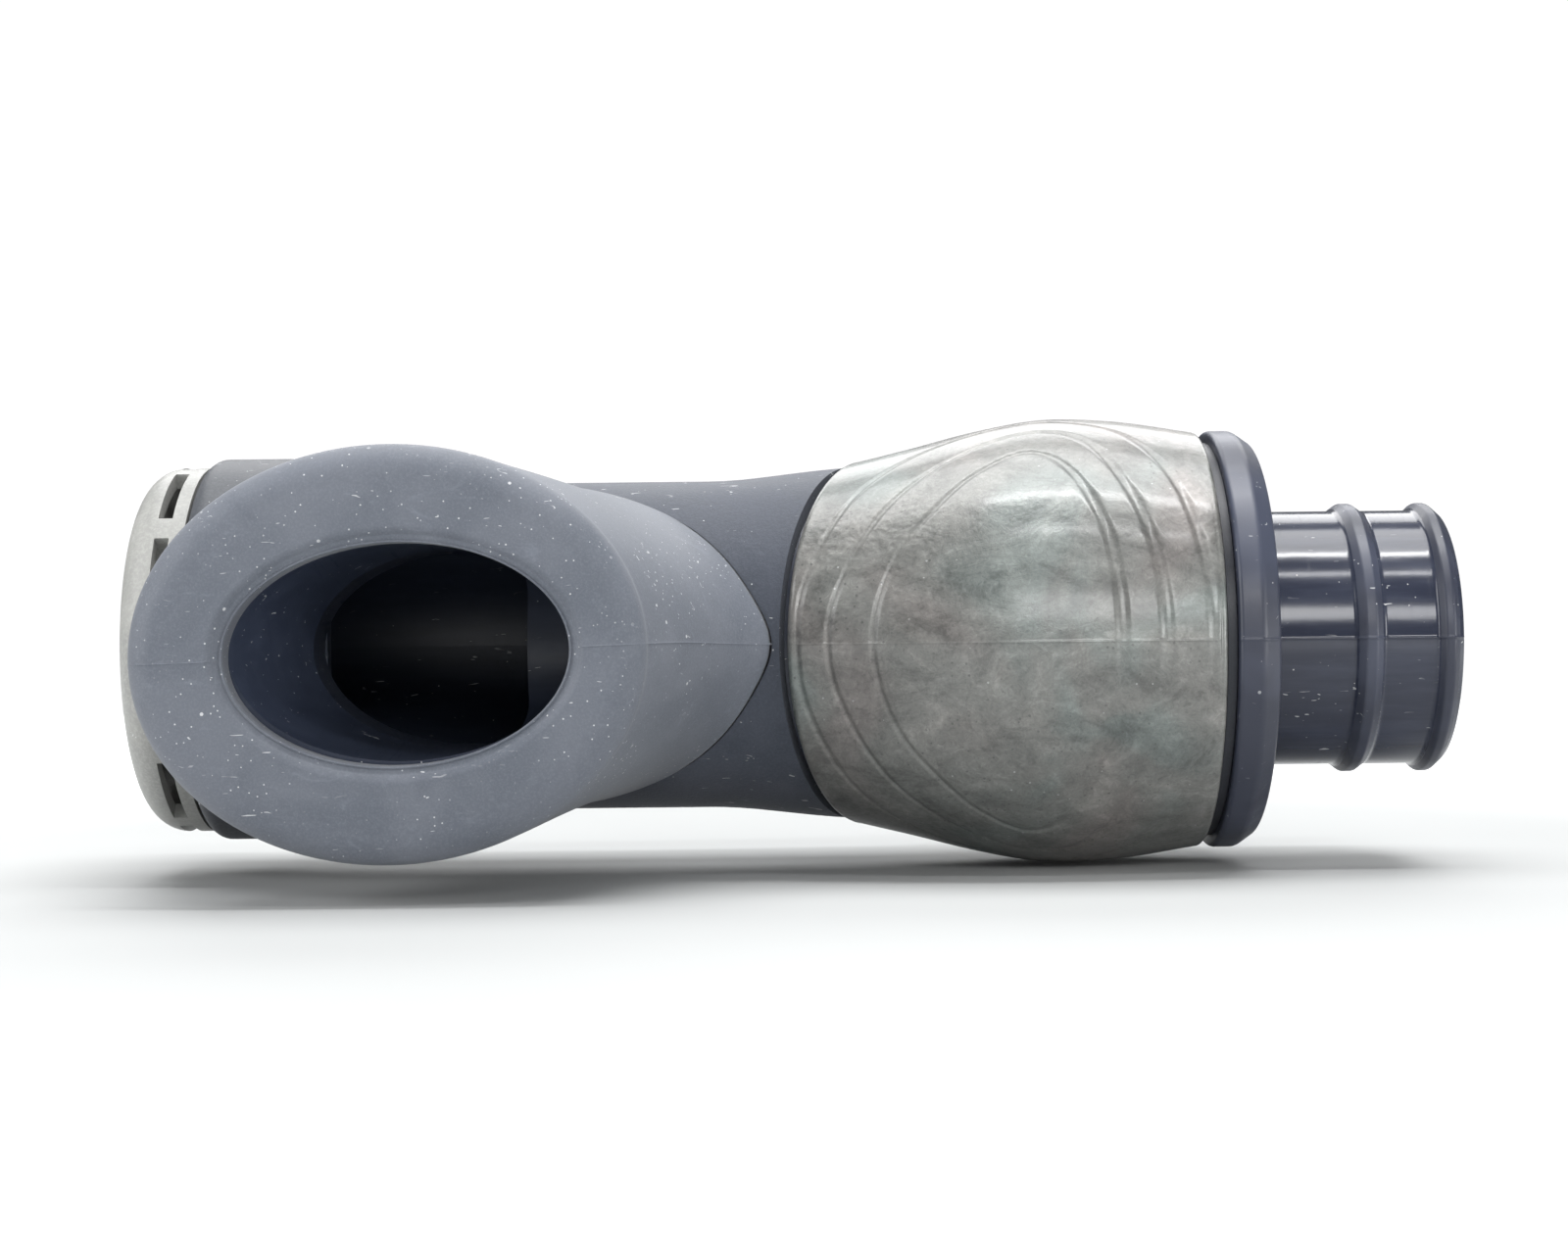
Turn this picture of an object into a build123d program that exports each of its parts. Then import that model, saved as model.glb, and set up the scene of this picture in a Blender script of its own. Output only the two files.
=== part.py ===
from build123d import *
from math import hypot
import os

os.makedirs("parts", exist_ok=True)

# Mouth section of a snorkel, lying on its side.
# The airway runs along X. The origin is the centre of the hose spigot's open end,
# +X points out of the spigot, the soft mouth port points to -Y, and Z is square to
# the plane of symmetry. All sizes are in millimetres.

# ---- clearances ----
running_gap = 0.05        # between turning or sliding pieces, on the radius
seat_gap = 0.05           # between rigid pieces that are fixed together
soft_gap = 0.10           # between a soft moulding and what it is stretched over

# ---- hose spigot and flange ----
spigot_radius = 12.0
spigot_wall = 2.0
spigot_length = 17.6
barb_rise = 0.7
barb_land = 0.5
barb_flank = 0.9
barb_pitch = 7.2
end_barb_inset = 1.3
end_barb_lead = 0.6
flange_rise = 0.15        # how far the flange stands over the cowl's end
flange_thickness = 4.1
flange_chamfer = 1.1

# ---- rigid core tube ----
core_bore_radius = 12.5
core_wall = 1.7
core_neck_rise = 0.8
core_neck_left_inset = 5.8
core_neck_right_inset = 7.7
core_head_inset = 14.2
core_length_left_of_cowl = 58.0

# ---- swivel joint ----
shank_length = 15.3
shank_rise = 2.05         # shank over the core's bore
socket_wall = 2.4
washer_thickness = 0.8
washer_width = 3.95
o_ring_section = 1.5
o_ring_groove_width = 1.9
o_ring_groove_depth = 1.55
o_ring_inset = 2.6
snap_ring_thickness = 1.2
snap_ring_depth = 0.9
snap_ring_grip = 0.8
snap_ring_gap_angle = 30
snap_ring_inset = 9.0

# ---- cowl: how far its sections swell over its right end ----
cowl_wall = 1.6
cowl_length = 31.5
cowl_gap = 1.0
cowl_end_rise = 2.55      # the cowl's right end over the core's head
cowl_rim_swell = -2.55
cowl_shoulder_swell = -1.15
cowl_waist_swell = 0.25
cowl_crown_swell = 1.35
cowl_fall_swell = 1.15
cowl_rake = 0.43          # how far the left rim leans along X for each mm of Y
cowl_rim_round = 0.7
lock_ring_width = 2.4

# ---- soft sleeve over the core ----
sleeve_thickness = 1.25
sleeve_flare_length = 14.4
sleeve_mid_rise = 0.55
sleeve_mid_inset = 7.4
sleeve_flare_rise = 1.15
sleeve_tuck = 7.5
rim_gap = 1.0

# ---- purge housing ----
housing_rise = 2.55       # the housing over the sleeve
housing_length = 10.4
housing_overhang = 3.2
housing_shoulder = 2.4
housing_edge_round = 1.6
housing_o_ring_section = 1.0
housing_o_ring_depth = 0.95
housing_o_ring_inset = 3.6

# ---- purge valve ----
seat_rise = 1.4           # the valve seat over the core
seat_thickness = 2.0
seat_land = 1.7           # the seat's port inside the core's bore
seat_hub_radius = 3.4
seat_hub_bore_radius = 1.5
seat_spoke_width = 2.0
seat_spoke_overlap = 0.5
seat_spokes = 4
seat_lip_height = 0.5
seat_lip_width = 0.8
seat_o_ring_section = 1.1
diaphragm_overlap = 1.4
diaphragm_thickness = 0.8
diaphragm_stem_radius = 1.4
diaphragm_bulb_radius = 2.2
diaphragm_bulb_length = 3.0
diaphragm_travel = 1.3

# ---- purge cover ----
cover_length = 6.5
cover_wall = 1.4
cover_step = 0.8          # the cover's skirt inside the housing
cover_skirt_length = 2.45
cover_dome_narrowing = 5.0
cover_dome_depth = 1.3
cover_spigot_length = 1.0
cover_slots = 10
cover_slot_width = 1.3
cover_slot_angle = 28
cover_slot_offset = 1.3

# ---- mouth port ----
port_reach = 35.0
port_half_width = 21.45
port_half_height = 17.4
port_offset = 40.1        # the port's centre from the cowl's left end
port_centre_rake = 0.56   # how far the port's centre leans along X for each mm of reach
port_root_reach = 15.0
port_foot_reach = 4.0
port_root_half_width = 21.7
port_root_inset = 0.3     # the port's root inside the sleeve
port_rim_round = 2.6
mouth_half_width = 14.3
mouth_half_height = 9.25
mouth_shift = 0.9
mouth_lip = 3.4

# ---- window in the core under the port ----
window_width = 17.9
window_half_height = 8.8
window_corner = 4.0
window_shift = 0.75

# ---- rigid collar inside the port: a straight root under a widening funnel ----
collar_reach = 20.0
collar_shift = 4.8
collar_half_width = 14.6
collar_half_height = 10.2
collar_wall = 1.4
collar_lip = 0.7
collar_lip_thickness = 1.5

# ---- radii that follow from the sizes above ----
airway_radius = spigot_radius - spigot_wall
core_radius = core_bore_radius + core_wall
core_neck_radius = core_radius + core_neck_rise
shank_radius = core_bore_radius + shank_rise
socket_radius = shank_radius + running_gap
core_head_radius = socket_radius + socket_wall
o_ring_groove_floor = shank_radius - o_ring_groove_depth
snap_ring_inner_radius = shank_radius - snap_ring_depth
snap_ring_outer_radius = socket_radius + snap_ring_grip
cowl_end_radius = core_head_radius + cowl_end_rise
flange_radius = cowl_end_radius + flange_rise
sleeve_radius = core_radius + sleeve_thickness
sleeve_flare_radius = sleeve_radius + sleeve_flare_rise
housing_radius = sleeve_radius + housing_rise
housing_o_ring_groove_floor = core_radius - housing_o_ring_depth
seat_radius = core_radius + seat_rise
seat_port_radius = core_bore_radius - seat_land
diaphragm_radius = seat_port_radius + diaphragm_overlap
cover_skirt_radius = housing_radius - cover_step
cover_dome_radius = cover_skirt_radius - cover_dome_narrowing
port_root_half_height = sleeve_radius - port_root_inset

# ---- places that follow from the sizes above ----
flange_face_x = -spigot_length
flange_back_x = flange_face_x - flange_thickness
core_head_x = flange_back_x - running_gap - washer_thickness - seat_gap
shank_end_x = flange_back_x - shank_length
socket_floor_x = shank_end_x - 4 * running_gap
o_ring_x = shank_end_x + o_ring_inset
snap_ring_x = shank_end_x + snap_ring_inset
cowl_right_x = flange_back_x - cowl_gap
cowl_left_x = cowl_right_x - cowl_length
sleeve_end_x = cowl_left_x - rim_gap
sleeve_flare_start_x = cowl_left_x - sleeve_flare_length
core_left_x = cowl_left_x - core_length_left_of_cowl
housing_left_x = core_left_x - housing_overhang
housing_right_x = housing_left_x + housing_length
housing_o_ring_x = core_left_x + housing_o_ring_inset
sleeve_left_x = housing_right_x + 4 * seat_gap
seat_left_x = core_left_x - seat_gap - seat_thickness
seat_lip_x = seat_left_x - seat_lip_height
diaphragm_x = seat_lip_x - running_gap
cover_tip_x = housing_left_x - cover_length
port_centre_x = cowl_left_x - port_offset
mouth_centre_x = port_centre_x + mouth_shift
window_centre_x = port_centre_x + window_shift
collar_centre_x = port_centre_x + collar_shift
funnel_reach = port_reach - mouth_lip


def ellipse_plane(y):
    """Plane square to the mouth port's axis, at the given Y, with its X along +X."""
    return Plane(origin=(0, y, 0), x_dir=(1, 0, 0), z_dir=(0, -1, 0))


def raked_plane(x, rake):
    """Plane across the airway at x, leaning by rake along X for each mm of Y."""
    return Plane(origin=(x, 0, 0), x_dir=(rake, 1, 0), z_dir=(1, -rake, 0))


# ---- hose connector: barbed spigot, flange and swivel shank in one moulding ----
barb_crest = spigot_radius + barb_rise
end_barb_x = -end_barb_inset
first_barb_x = end_barb_x - barb_pitch
first_barb = [
    (first_barb_x - barb_land / 2 - barb_flank, spigot_radius),
    (first_barb_x - barb_land / 2, barb_crest),
    (first_barb_x + barb_land / 2, barb_crest),
    (first_barb_x + barb_land / 2 + barb_flank, spigot_radius),
]
end_barb = [
    (end_barb_x - barb_land / 2 - barb_flank, spigot_radius),
    (end_barb_x - barb_land / 2, barb_crest),
    (end_barb_x + barb_land / 2, barb_crest),
    (0, barb_crest - end_barb_lead),
]
connector_profile = [
    (shank_end_x, airway_radius),
    (shank_end_x, shank_radius),
    (flange_back_x, shank_radius),
    (flange_back_x, flange_radius),
    (flange_face_x - flange_chamfer, flange_radius),
    (flange_face_x, flange_radius - flange_chamfer),
    (flange_face_x, spigot_radius),
    *first_barb,
    *end_barb,
    (0, airway_radius),
]
with BuildPart() as hose_connector:
    with BuildSketch(Plane.XY):
        with BuildLine():
            Polyline(*connector_profile, close=True)
        make_face()
    revolve(axis=Axis.X)
    with BuildSketch(Plane.XY):
        with Locations((o_ring_x, (o_ring_groove_floor + socket_radius) / 2)):
            Rectangle(o_ring_groove_width, socket_radius - o_ring_groove_floor)
        with Locations((snap_ring_x, (snap_ring_inner_radius + socket_radius) / 2)):
            Rectangle(
                snap_ring_thickness + 2 * seat_gap,
                socket_radius - snap_ring_inner_radius + 2 * seat_gap,
            )
    revolve(axis=Axis.X, mode=Mode.SUBTRACT)
hose_connector.part.label = "hose_connector"
export_step(hose_connector.part, "parts/hose_connector.step")

# ---- swivel seal in the shank's groove ----
with BuildPart() as swivel_o_ring:
    with BuildSketch(Plane.XY):
        with Locations((o_ring_x, shank_radius - o_ring_section / 2)):
            Circle(o_ring_section / 2)
    revolve(axis=Axis.X)
swivel_o_ring.part.label = "swivel_o_ring"
export_step(swivel_o_ring.part, "parts/swivel_o_ring.step")

# ---- split ring that keeps the shank in its socket ----
with BuildPart() as swivel_snap_ring:
    with BuildSketch(Plane.YZ.offset(snap_ring_x - snap_ring_thickness / 2)):
        Circle(snap_ring_outer_radius)
        Circle(snap_ring_inner_radius + seat_gap, mode=Mode.SUBTRACT)
    extrude(amount=snap_ring_thickness)
    with BuildSketch(Plane.XY):
        with Locations((snap_ring_x, 0)):
            Rectangle(2 * snap_ring_thickness, 2 * snap_ring_outer_radius, align=(Align.CENTER, Align.MIN))
    revolve(axis=Axis.X, revolution_arc=snap_ring_gap_angle, mode=Mode.SUBTRACT)
swivel_snap_ring.part.label = "swivel_snap_ring"
export_step(swivel_snap_ring.part, "parts/swivel_snap_ring.step")

# ---- thrust washer in the dark gap behind the flange ----
washer_inner_radius = shank_radius + 2 * running_gap
with BuildPart() as swivel_thrust_washer:
    with BuildSketch(Plane.YZ.offset(core_head_x + seat_gap)):
        Circle(washer_inner_radius + washer_width)
        Circle(washer_inner_radius, mode=Mode.SUBTRACT)
    extrude(amount=washer_thickness)
swivel_thrust_washer.part.label = "swivel_thrust_washer"
export_step(swivel_thrust_washer.part, "parts/swivel_thrust_washer.step")

# ---- rigid core: airway tube, port window and swivel socket ----
core_neck_left_x = cowl_left_x - core_neck_left_inset
core_neck_right_x = cowl_left_x + core_neck_right_inset
core_head_left_x = cowl_left_x + core_head_inset
core_profile = [
    (core_left_x, core_bore_radius),
    (socket_floor_x, core_bore_radius),
    (socket_floor_x, socket_radius),
    (core_head_x, socket_radius),
    (core_head_x, core_head_radius),
    (core_head_left_x, core_head_radius),
    (core_neck_right_x, core_neck_radius),
    (core_neck_left_x, core_neck_radius),
    (sleeve_flare_start_x, core_radius),
    (core_left_x, core_radius),
]
with BuildPart() as body_core:
    with BuildSketch(Plane.XY):
        with BuildLine():
            Polyline(*core_profile, close=True)
        make_face()
    revolve(axis=Axis.X)
    with BuildSketch(Plane.XY):
        with Locations((snap_ring_x, (socket_radius + snap_ring_outer_radius) / 2)):
            Rectangle(
                snap_ring_thickness + 4 * running_gap,
                snap_ring_outer_radius - socket_radius + 2 * running_gap,
            )
        with Locations((housing_o_ring_x, (housing_o_ring_groove_floor + core_radius) / 2)):
            Rectangle(1.4 * housing_o_ring_section, core_radius - housing_o_ring_groove_floor + seat_gap)
    revolve(axis=Axis.X, mode=Mode.SUBTRACT)
    with BuildSketch(ellipse_plane(0)):
        with Locations((window_centre_x, 0)):
            RectangleRounded(window_width, 2 * window_half_height, window_corner)
    extrude(amount=2 * core_radius, mode=Mode.SUBTRACT)
body_core.part.label = "body_core"
export_step(body_core.part, "parts/body_core.step")

# ---- soft sleeve over the core, from the purge housing to the cowl's raked rim ----
sleeve_outer = [
    (sleeve_left_x, sleeve_radius),
    (sleeve_flare_start_x, sleeve_radius),
]
sleeve_mid = (cowl_left_x - sleeve_mid_inset, sleeve_radius + sleeve_mid_rise)
sleeve_flare_end = (cowl_left_x + sleeve_tuck, sleeve_flare_radius)
with BuildPart() as body_sleeve:
    with BuildSketch(Plane.XY):
        with BuildLine():
            Line(*sleeve_outer)
            Spline(
                sleeve_outer[1],
                sleeve_mid,
                (sleeve_end_x, sleeve_flare_radius),
                sleeve_flare_end,
                tangents=[(1, 0), (1, 0)],
            )
            Polyline(
                sleeve_flare_end,
                (sleeve_flare_end[0], core_neck_radius + seat_gap),
                (core_neck_left_x, core_neck_radius + seat_gap),
                (sleeve_flare_start_x, core_radius + seat_gap),
                (sleeve_left_x, core_radius + seat_gap),
                sleeve_outer[0],
            )
        make_face()
    revolve(axis=Axis.X)
    split(bisect_by=raked_plane(sleeve_end_x, cowl_rake), keep=Keep.BOTTOM)
    with BuildSketch(ellipse_plane(0)):
        with Locations((collar_centre_x, 0)):
            Ellipse(collar_half_width + 3 * soft_gap, collar_half_height + 3 * soft_gap)
    extrude(amount=2 * sleeve_radius, mode=Mode.SUBTRACT)
body_sleeve.part.label = "body_sleeve"
export_step(body_sleeve.part, "parts/body_sleeve.step")

# ---- cowl: a swelling shell whose left rim is raked and whose right rim is square ----
cowl_sections = [
    (0.0, cowl_end_radius + cowl_rim_swell),
    (0.18, cowl_end_radius + cowl_shoulder_swell),
    (0.35, cowl_end_radius + cowl_waist_swell),
    (0.55, cowl_end_radius + cowl_crown_swell),
    (0.76, cowl_end_radius + cowl_fall_swell),
    (1.0, cowl_end_radius),
]


def cowl_section(share, radius):
    """Raked oval across the cowl, round when seen along X; the rake fades to the right."""
    rake = cowl_rake * (1 - share)
    with BuildSketch(raked_plane(cowl_left_x + share * cowl_length, rake)) as section:
        Ellipse(radius * hypot(1, rake), radius)
    return section.sketch.face()


with BuildPart() as cowl:
    loft([cowl_section(share, radius) for share, radius in cowl_sections])
    fillet(cowl.faces().sort_by(Axis.X)[0].edges(), radius=cowl_rim_round)
    loft(
        [cowl_section(share, radius - cowl_wall) for share, radius in cowl_sections],
        mode=Mode.SUBTRACT,
    )
cowl.part.label = "cowl"
export_step(cowl.part, "parts/cowl.step")

# ---- threaded ring that traps the cowl on the core's head ----
with BuildPart() as cowl_lock_ring:
    with BuildSketch(Plane.YZ.offset(cowl_right_x - lock_ring_width)):
        Circle(cowl_end_radius - cowl_wall - seat_gap)
        Circle(core_head_radius + seat_gap, mode=Mode.SUBTRACT)
    extrude(amount=lock_ring_width - seat_gap)
cowl_lock_ring.part.label = "cowl_lock_ring"
export_step(cowl_lock_ring.part, "parts/cowl_lock_ring.step")

# ---- purge housing: the ring that joins the core to the purge cover ----
counterbore_radius = seat_radius + seat_gap
counterbore_x = core_left_x + seat_o_ring_section + 2 * seat_gap
housing_profile = [
    (housing_left_x, counterbore_radius),
    (counterbore_x, counterbore_radius),
    (counterbore_x, core_radius + seat_gap),
    (housing_right_x, core_radius + seat_gap),
    (housing_right_x, sleeve_radius),
    (housing_right_x - housing_shoulder, housing_radius),
    (housing_left_x, housing_radius),
]
with BuildPart() as purge_housing:
    with BuildSketch(Plane.XY) as housing_sketch:
        with BuildLine():
            Polyline(*housing_profile, close=True)
        make_face()
        outer_corner = housing_sketch.vertices().group_by(Axis.Y)[-1].sort_by(Axis.X)
        fillet(outer_corner, radius=housing_edge_round)
    revolve(axis=Axis.X)
purge_housing.part.label = "purge_housing"
export_step(purge_housing.part, "parts/purge_housing.step")

with BuildPart() as housing_o_ring:
    with BuildSketch(Plane.XY):
        with Locations((housing_o_ring_x, core_radius - housing_o_ring_section / 2)):
            Circle(housing_o_ring_section / 2 - seat_gap)
    revolve(axis=Axis.X)
housing_o_ring.part.label = "housing_o_ring"
export_step(housing_o_ring.part, "parts/housing_o_ring.step")

# ---- purge valve seat: spoked disc with a raised sealing lip ----
with BuildPart() as purge_valve_seat:
    with BuildSketch(Plane.YZ.offset(seat_left_x)):
        Circle(seat_radius)
        Circle(seat_port_radius, mode=Mode.SUBTRACT)
        Circle(seat_hub_radius)
        with PolarLocations(0, seat_spokes, start_angle=45):
            with Locations(((seat_hub_radius + seat_port_radius) / 2, 0)):
                Rectangle(
                    seat_port_radius - seat_hub_radius + 2 * seat_spoke_overlap,
                    seat_spoke_width,
                )
        Circle(seat_hub_bore_radius, mode=Mode.SUBTRACT)
    extrude(amount=seat_thickness)
    with BuildSketch(Plane.YZ.offset(seat_lip_x)):
        Circle(seat_port_radius + seat_lip_width)
        Circle(seat_port_radius, mode=Mode.SUBTRACT)
    extrude(amount=seat_lip_height)
purge_valve_seat.part.label = "purge_valve_seat"
export_step(purge_valve_seat.part, "parts/purge_valve_seat.step")

with BuildPart() as purge_seat_o_ring:
    with BuildSketch(Plane.XY):
        with Locations(
            (
                core_left_x + seat_o_ring_section / 2,
                core_radius + seat_gap + seat_o_ring_section / 2,
            )
        ):
            Circle(seat_o_ring_section / 2)
    revolve(axis=Axis.X)
purge_seat_o_ring.part.label = "purge_seat_o_ring"
export_step(purge_seat_o_ring.part, "parts/purge_seat_o_ring.step")

# ---- purge diaphragm: soft disc, stem through the hub, and bulb behind it ----
hub_right_x = seat_left_x + seat_thickness
bulb_left_x = hub_right_x + diaphragm_travel + 4 * running_gap
diaphragm_profile = [
    (diaphragm_x - diaphragm_thickness, 0),
    (diaphragm_x - diaphragm_thickness, diaphragm_radius),
    (diaphragm_x, diaphragm_radius),
    (diaphragm_x, diaphragm_stem_radius),
    (bulb_left_x, diaphragm_stem_radius),
    (bulb_left_x, diaphragm_bulb_radius),
    (bulb_left_x + diaphragm_bulb_length, diaphragm_stem_radius / 2),
    (bulb_left_x + diaphragm_bulb_length, 0),
]
with BuildPart() as purge_diaphragm:
    with BuildSketch(Plane.XY):
        with BuildLine():
            Polyline(*diaphragm_profile, close=True)
        make_face()
    revolve(axis=Axis.X)
purge_diaphragm.part.label = "purge_diaphragm"
export_step(purge_diaphragm.part, "parts/purge_diaphragm.step")

# ---- purge cover: domed cap with a ring of exhaust slots in its shoulder ----
cover_face_x = housing_left_x - seat_gap
skirt_left_x = housing_left_x - cover_skirt_length


def dome_outline(shrink):
    """Half the cover's outline, shrunk inwards: skirt foot, shoulder, dome edge, tip."""
    return [
        (cover_face_x, cover_skirt_radius - shrink),
        (skirt_left_x, cover_skirt_radius - shrink),
        (cover_tip_x + cover_dome_depth + shrink, cover_dome_radius - shrink / 2),
        (cover_tip_x + shrink, 0),
    ]


with BuildPart() as purge_cover:
    with BuildSketch(Plane.XY):
        with BuildLine():
            foot, shoulder, dome_edge, tip = dome_outline(0)
            foot_in, shoulder_in, dome_edge_in, tip_in = dome_outline(cover_wall)
            Line(foot, shoulder)
            arc = TangentArc(shoulder, dome_edge, tangent=(-1, 0))
            Spline(dome_edge, tip, tangents=[arc % 1, (0, -1)])
            Line(tip, tip_in)
            arc_in = TangentArc(shoulder_in, dome_edge_in, tangent=(-1, 0))
            Spline(dome_edge_in, tip_in, tangents=[arc_in % 1, (0, -1)])
            Line(shoulder_in, foot_in)
            Line(foot_in, foot)
        make_face()
    revolve(axis=Axis.X)
    with BuildSketch(Plane.YZ.offset(cover_face_x)):
        Circle(seat_radius)
    extrude(amount=cover_spigot_length)
    with BuildSketch(Plane.YZ.offset(cover_face_x)):
        Circle(cover_skirt_radius - cover_wall / 2)
    extrude(amount=-cover_slot_offset)
    with BuildSketch(Plane.YZ.offset(housing_left_x + cover_spigot_length)):
        Circle(seat_radius - cover_wall)
    extrude(amount=-cover_spigot_length - cover_slot_offset - 2 * seat_gap, mode=Mode.SUBTRACT)
    slot_centre_x = housing_left_x - cover_slot_offset - cover_slot_width / 2
    for step in range(cover_slots):
        with BuildSketch(Plane.XY.rotated((step * 360 / cover_slots, 0, 0))):
            with Locations((slot_centre_x, cover_skirt_radius)):
                Rectangle(cover_slot_width, 4 * cover_wall)
        revolve(axis=Axis.X, revolution_arc=cover_slot_angle, mode=Mode.SUBTRACT)
purge_cover.part.label = "purge_cover"
export_step(purge_cover.part, "parts/purge_cover.step")


def oval(reach, centre, half_width, half_height):
    """Oval square to the port's axis, at a reach from the airway's axis."""
    with BuildSketch(ellipse_plane(-reach)) as outline:
        with Locations((centre, 0)):
            Ellipse(half_width, half_height)
    return outline.sketch.face()


def collar_root(reach, grow):
    """The collar's outer oval at its root, grown outwards."""
    return oval(reach, collar_centre_x, collar_half_width + grow, collar_half_height + grow)


def funnel_mouth(reach, grow):
    """The funnel's outer oval under the mouth's lip, grown outwards."""
    wall = collar_wall + grow
    return oval(reach, mouth_centre_x, mouth_half_width + wall, mouth_half_height + wall)


# ---- rigid collar that holds the mouth port open, from the core to the mouth's lip ----
with BuildPart() as port_collar:
    extrude(collar_root(0, 0), amount=collar_reach, dir=(0, -1, 0))
    extrude(
        collar_root(collar_reach - collar_lip_thickness, collar_lip),
        amount=collar_lip_thickness,
        dir=(0, -1, 0),
    )
    loft([collar_root(collar_reach, 0), funnel_mouth(funnel_reach, 0)])
    loft(
        [collar_root(collar_reach, -collar_wall), funnel_mouth(funnel_reach, -collar_wall)],
        mode=Mode.SUBTRACT,
    )
    extrude(
        collar_root(0, -collar_wall),
        amount=collar_reach,
        dir=(0, -1, 0),
        mode=Mode.SUBTRACT,
    )
    with BuildSketch(Plane.YZ.offset(sleeve_left_x)):
        Circle(core_radius + seat_gap)
    extrude(amount=-2 * sleeve_left_x, mode=Mode.SUBTRACT)
port_collar.part.label = "port_collar"
export_step(port_collar.part, "parts/port_collar.step")


# ---- mouth port: soft oval boot, raked away from the hose, open right through ----
def port_outline(reach):
    """Outer oval of the port at a reach from the airway's axis."""
    depth = port_reach - port_rim_round - reach
    share = depth / (port_reach - port_rim_round - port_root_reach)
    centre = port_centre_x + port_centre_rake * depth
    width = port_half_width + share * (port_root_half_width - port_half_width)
    height = port_half_height + share * (port_root_half_height - port_half_height)
    return oval(reach, centre, width, height)


# The space that the port's neighbours take out of it, with a little clearance all round.
housing_clear_radius = housing_radius + 3 * soft_gap
with BuildPart() as port_hollow:
    extrude(collar_root(0, soft_gap), amount=collar_reach, dir=(0, -1, 0))
    loft([collar_root(collar_reach, soft_gap), funnel_mouth(funnel_reach + soft_gap, soft_gap)])
    extrude(
        collar_root(collar_reach - collar_lip_thickness - soft_gap, collar_lip + soft_gap),
        amount=collar_lip_thickness + 2 * soft_gap,
        dir=(0, -1, 0),
    )
    extrude(
        oval(funnel_reach, mouth_centre_x, mouth_half_width, mouth_half_height),
        amount=2 * mouth_lip,
        dir=(0, -1, 0),
    )
    with BuildSketch(Plane.XY):
        with BuildLine():
            Polyline(
                (2 * housing_left_x, 0),
                (2 * housing_left_x, housing_clear_radius),
                (housing_right_x - housing_shoulder + 3 * soft_gap, housing_clear_radius),
                (housing_right_x + 3 * soft_gap, sleeve_radius + soft_gap),
                (sleeve_flare_start_x, sleeve_radius + soft_gap),
                (sleeve_mid[0], sleeve_mid[1] + 2 * soft_gap),
                (cowl_left_x, sleeve_flare_radius + 2 * soft_gap),
                (cowl_left_x, 0),
                close=True,
            )
        make_face()
    revolve(axis=Axis.X)

with BuildPart() as mouth_port_boot:
    loft([port_outline(port_reach), port_outline(port_root_reach), port_outline(port_foot_reach)])
    fillet(mouth_port_boot.faces().sort_by(Axis.Y)[0].edges(), radius=port_rim_round)
    split(bisect_by=raked_plane(sleeve_end_x, cowl_rake), keep=Keep.BOTTOM)
    add(port_hollow.part, mode=Mode.SUBTRACT)
mouth_port_boot.part.label = "mouth_port_boot"
export_step(mouth_port_boot.part, "parts/mouth_port_boot.step")
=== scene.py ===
import math

import bmesh
import bpy
import numpy as np
from mathutils import Matrix, Vector


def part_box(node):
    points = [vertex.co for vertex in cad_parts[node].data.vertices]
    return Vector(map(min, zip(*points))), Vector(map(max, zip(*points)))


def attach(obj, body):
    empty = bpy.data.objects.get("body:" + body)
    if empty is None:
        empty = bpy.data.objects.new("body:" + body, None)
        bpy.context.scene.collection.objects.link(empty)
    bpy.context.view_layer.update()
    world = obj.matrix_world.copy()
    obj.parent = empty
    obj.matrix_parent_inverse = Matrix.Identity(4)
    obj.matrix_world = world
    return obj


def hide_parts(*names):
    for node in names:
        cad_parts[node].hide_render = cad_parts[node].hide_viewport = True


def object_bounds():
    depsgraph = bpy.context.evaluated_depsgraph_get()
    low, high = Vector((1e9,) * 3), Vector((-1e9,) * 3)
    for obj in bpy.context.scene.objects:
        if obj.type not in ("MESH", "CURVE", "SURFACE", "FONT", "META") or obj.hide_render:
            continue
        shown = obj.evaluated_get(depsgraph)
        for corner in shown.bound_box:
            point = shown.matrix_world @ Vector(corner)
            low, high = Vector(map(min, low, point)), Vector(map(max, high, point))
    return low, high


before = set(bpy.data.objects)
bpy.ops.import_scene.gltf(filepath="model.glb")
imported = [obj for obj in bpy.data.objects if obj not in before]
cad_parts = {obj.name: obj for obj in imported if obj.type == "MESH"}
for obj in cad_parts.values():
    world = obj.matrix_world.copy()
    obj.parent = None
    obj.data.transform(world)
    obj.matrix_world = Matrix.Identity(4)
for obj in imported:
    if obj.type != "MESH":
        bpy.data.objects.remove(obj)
cad_low, cad_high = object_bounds()

# The mouth section of a snorkel on a pale floor. Shapes are worked out in millimetres
# in the row frame: the airway runs along X, the mouth port points to -Y. Angles round
# the airway are measured from the port's side, positive upwards.

MM = 0.001


def node_box(node):
    """Lowest and highest corner of a CAD node, in millimetres."""
    low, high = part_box(node)
    return np.array(low) / MM, np.array(high) / MM


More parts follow.
